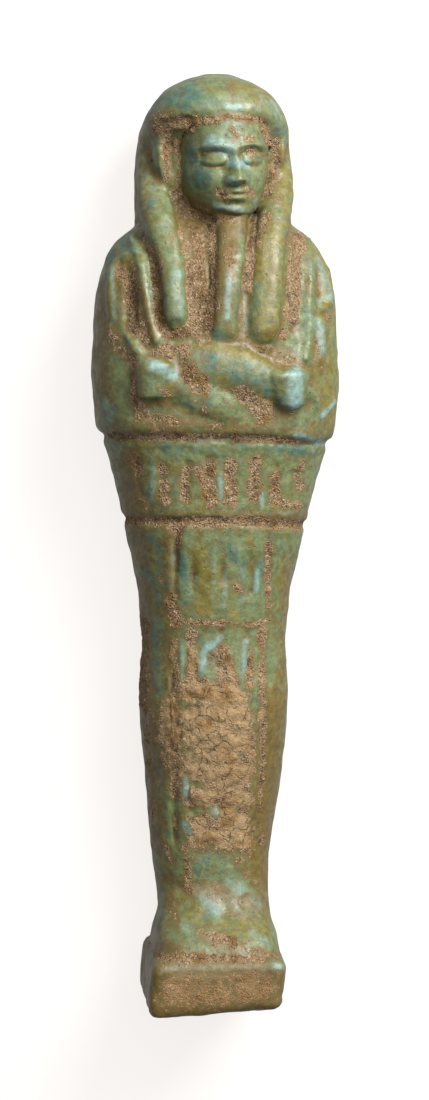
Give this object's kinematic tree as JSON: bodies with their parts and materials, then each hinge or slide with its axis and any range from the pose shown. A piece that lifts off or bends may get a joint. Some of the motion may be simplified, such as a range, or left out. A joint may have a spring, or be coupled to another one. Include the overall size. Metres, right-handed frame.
{
  "type": "ushabti figurine",
  "caption": "Mummiform moulded faience figurine with a wig, beard, crossed arms, hoe and pick, a worn inscribed panel, a back pillar and a plinth, lying on its back.",
  "frame": {"origin": "centre of the figurine's footprint as it lies on its back, on the surface it lies on", "axes": "+Y from the plinth to the crown of the head, +Z out of the face, +X to the figure's own left"},
  "size_m": [0.0284, 0.1064, 0.0204],
  "materials": {
    "faience": "weathered grey-green turquoise glaze, half gloss, with matt tan earth in the hollows"
  },
  "bodies": {
    "root": {"ushabti": "faience"}
  },
  "joints": []
}
